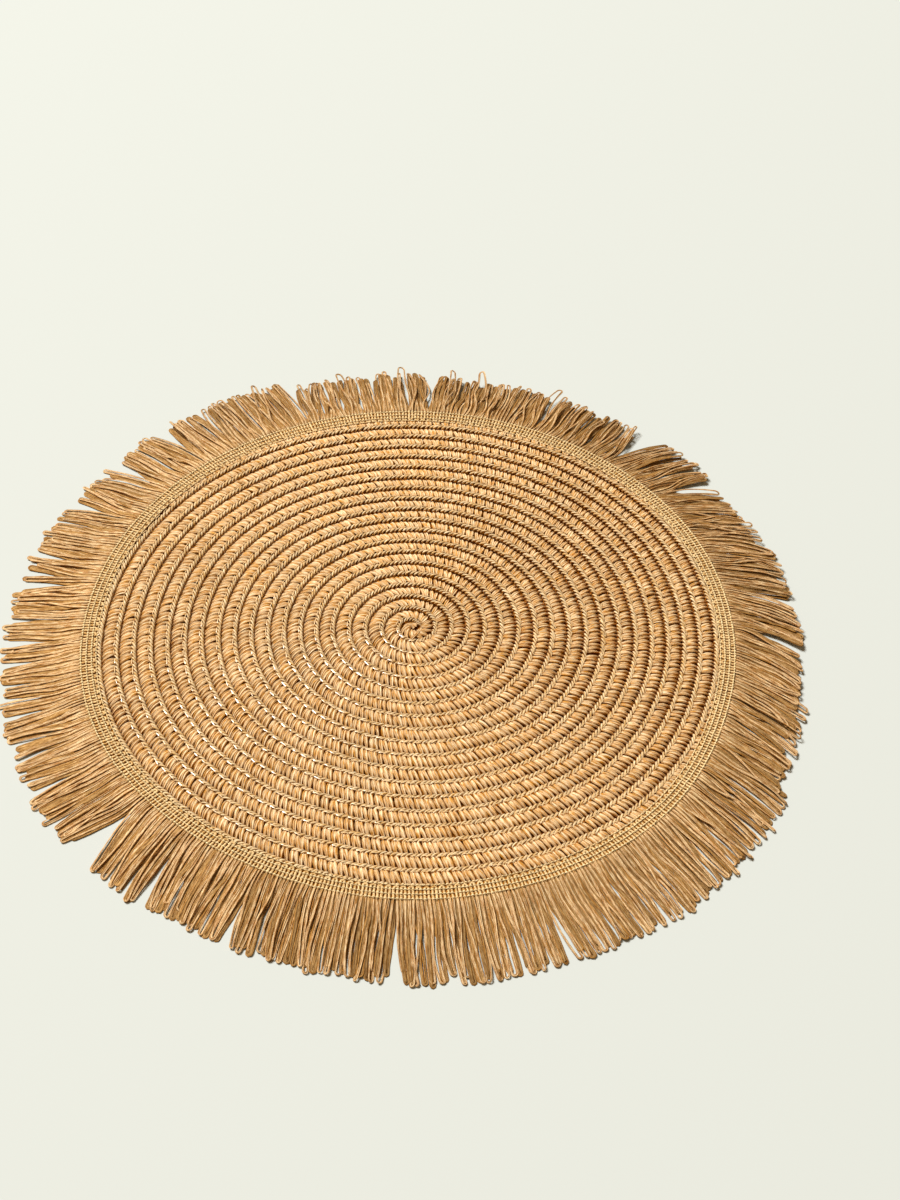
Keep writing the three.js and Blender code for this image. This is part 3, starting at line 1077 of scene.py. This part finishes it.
def loop_outline(rng, layer, length, widened):
    """A hairpin for every loop, out along one leg, round the tip and back along the other: how
    far out and how far to the side each of its points lies."""
    share, side, bend_reach = hairpin(np.linspace(0, 1, layer.leg_steps), np.radians(layer.tip_angles))
    eye_more = EYE_SPREAD * layer.opening * rng.random(LOOPS)
    lens_more = LENS_SPREAD * layer.opening * rng.random(LOOPS) ** 2
    eye = as_column(EYE_HALF + eye_more + 0.5 * widened)
    lens = as_column(LENS_HALF + lens_more + 0.6 * widened)
    root_half = COLUMN_TURN / 2 * FRINGE_ROOT
    half_gap = root_half + (eye - root_half) * smooth(share)[None]
    half_gap = half_gap + lens * np.sin(np.pi * share)[None]
    run = share[None] * as_column(length) + bend_reach[None] * eye
    return run, side[None] * half_gap


def tilted(rng, cross, along, lively):
    """How far to the side and how far up each point lies when the loops are tilted. The legs of
    some cross once."""
    crossed = rng.random(LOOPS) < CROSSED_SHARE * lively
    tilt = rng.normal(0, TILT_SPREAD, LOOPS) * lively
    tilt = tilt + np.where(crossed, np.pi * rng.choice([-1, 1], LOOPS), 0)
    angle = as_column(tilt) * smooth(along * 1.15)
    return cross * np.cos(angle), cross * np.sin(angle)


def wander(rng, layer, along, loose):
    """How far each point lies to the side because its loop isn't straight."""
    bow = rng.normal(0, BOW_SPREAD, LOOPS) * (1 + 0.9 * loose) * layer.wandering
    wave = rng.normal(0, WAVE_SPREAD, LOOPS) * (1 + 1.2 * loose) * layer.wandering
    return as_column(bow) * np.sin(np.pi * along) + as_column(wave) * np.sin(2 * np.pi * along)


def settled_height(rng, layer, run, along, lift, stand, loose, lively):
    """From the heading's edge a loop comes down to the table, or stays a little above it."""
    lying = as_column(layer.rest + 1.3 * layer.rest * lively * rng.random(LOOPS))
    held = as_column(lift * (0.3 + 1.1 * rng.random(LOOPS)) + stand)
    tip_drop = (1 - as_column(loose)) * (lying - layer.rest) * smooth((along - 0.72) / 0.28)
    settled = lying - tip_drop + held * np.clip(along, 0, 1) ** 1.4
    leaving = as_column(LEAVING_HEIGHT + layer.rest + 0.15 * rng.normal(0, 1, LOOPS))
    return settled + (leaving - settled) * (1 - smooth(run / COMES_DOWN_OVER))


def loop_yarn(rng, layer, along, pale, lively):
    """The flat yarn's half sizes and roll: it is uneven and turns over here and there."""
    phase = 2 * np.pi * rng.random((3, LOOPS, 1))
    uneven = 1 + 0.14 * np.sin(7.5 * along + phase[0]) + 0.10 * np.sin(19.0 * along + phase[1])
    tapering = 1.10 - 0.20 * smooth(along)
    width = layer.half_width * uneven * tapering * as_column(1 + 0.15 * pale)
    height = LEG_HALF_HEIGHT * as_column(1 - 0.35 * pale)
    roll = as_column(rng.normal(0, ROLL_SPREAD, LOOPS)) + ROLL_WAVE * np.sin(5.0 * along + phase[2])
    return width, height, roll * as_column(lively) * layer.rolling


def fringe_layer(layer):
    rng = np.random.default_rng(layer.seed)
    azimuth = np.degrees((2 * np.arange(LOOPS) + 1.5 + layer.shift) * COLUMN_TURN)
    offset, reach, lean, gather, lift = clump_values(azimuth)

    # Where the fringe is lifted its loops lie looser, and on the side whose yarn is painted paler, as
    # painted light, they lie flatter
    loose = np.clip(lift / LOOSE_LIFT, 0.0, 1.0)
    pale = lit_side_share(azimuth)
    lively = 1 - 0.6 * pale

    # Where the tips lie round the mat: drawn to the middles of clumps and bunches
    pull = (BUNCHING + LIT_SIDE_BUNCHING * pale) * bunch_pull(azimuth)
    tip_azimuth = azimuth - offset * (1 - gather) + lean + pull
    astray = rng.normal(0, TIP_SPREAD, LOOPS) + rng.normal(0, LOOSE_TIP_SPREAD, LOOPS) * loose
    tip_azimuth = tip_azimuth + astray * layer.wandering

    length = loop_lengths(rng, layer, reach, loose, pale)
    stand, widened = standing_values(layer, azimuth)
    run, cross = loop_outline(rng, layer, length, widened)
    along = run / as_column(length)
    sideways, above = tilted(rng, cross, along, lively)
    sideways = sideways + wander(rng, layer, along, loose)
    bend = np.radians(as_column(tip_azimuth - azimuth)) * np.maximum(along, 0) ** 1.5
    radius = FRINGE_ROOT + run
    turn = np.radians(as_column(azimuth)) + bend + sideways / radius
    z = settled_height(rng, layer, run, along, lift, stand, loose, lively) + above

    # The yarn never dips into the table
    width, height, roll = loop_yarn(rng, layer, along, pale, lively)
    lowest = width * np.abs(np.sin(roll)) + height
    spines = placed(radius, turn, np.maximum(z, lowest))
    # The loops are painted paler on one side of the mat, as painted light
    tones = layer.tone + 0.42 * pale + 0.3 * rng.random(LOOPS)
    return sweep(layer.name, spines, width, height, CRUMPLED, tones, roll=roll)


def make_fringe():
    """The loops that show, and under them as many more, half a column to the side, which close
    the gaps between them. The lower ones are painted darker, as painted shade under the top loops."""
    return [
        finish_piece(fringe_layer(TOP_LAYER), FRINGE_PAPER, "fringe", "loop_fringe"),
        finish_piece(fringe_layer(UNDER_LAYER), SHADED_UNDER_PAPER, "fringe"),
    ]


# Stage and light
def make_floor():
    corners = [(-1, -1), (1, -1), (1, 1), (-1, 1)]
    points = [(FLOOR_HALF * x, FLOOR_HALF * y, 0) for x, y in corners]
    floor = new_object("floor", points, [(0, 1, 2, 3)])
    floor.data.materials.append(plain("floor_white", FLOOR_COLOUR, roughness=0.9, specular=0.0))


def make_key_light():
    key = bpy.data.lights.new("key", "AREA")
    key.shape = "DISK"
    key.size = LIGHT_SIZE
    key.energy = LIGHT_POWER
    key.color = LIGHT_COLOUR
    lamp = bpy.data.objects.new("key", key)
    azimuth = np.radians(LIGHT_AZIMUTH)
    elevation = np.radians(LIGHT_ELEVATION)
    level = np.cos(elevation)
    towards = Vector((level * np.cos(azimuth), level * np.sin(azimuth), np.sin(elevation)))
    lamp.location = towards * LIGHT_DISTANCE
    lamp.rotation_euler = towards.to_track_quat("Z", "Y").to_euler()
    bpy.context.scene.collection.objects.link(lamp)


def make_surroundings():
    """A soft warm fill from all round. Past the floor's edge, low views see a pale backdrop
    instead, which gives no light."""
    world = bpy.data.worlds.new("studio")
    world.use_nodes = True
    nodes = world.node_tree.nodes
    links = world.node_tree.links
    fill = nodes["Background"]
    fill.inputs["Color"].default_value = (*FILL_COLOUR, 1)
    fill.inputs["Strength"].default_value = FILL_STRENGTH
    backdrop = nodes.new("ShaderNodeBackground")
    backdrop.inputs["Color"].default_value = (*BACKDROP_COLOUR, 1)
    seen = nodes.new("ShaderNodeLightPath")
    either = nodes.new("ShaderNodeMixShader")
    links.new(seen.outputs["Is Camera Ray"], either.inputs[0])
    links.new(fill.outputs[0], either.inputs[1])
    links.new(backdrop.outputs[0], either.inputs[2])
    links.new(either.outputs[0], nodes["World Output"].inputs["Surface"])
    bpy.context.scene.world = world
    bpy.context.scene.view_settings.view_transform = "Standard"


photo_camera()
ground = make_ground()
soft_pieces = make_braid() + make_centre() + [make_thread()] + make_heading() + make_fringe()
make_floor()
make_key_light()
make_surroundings()
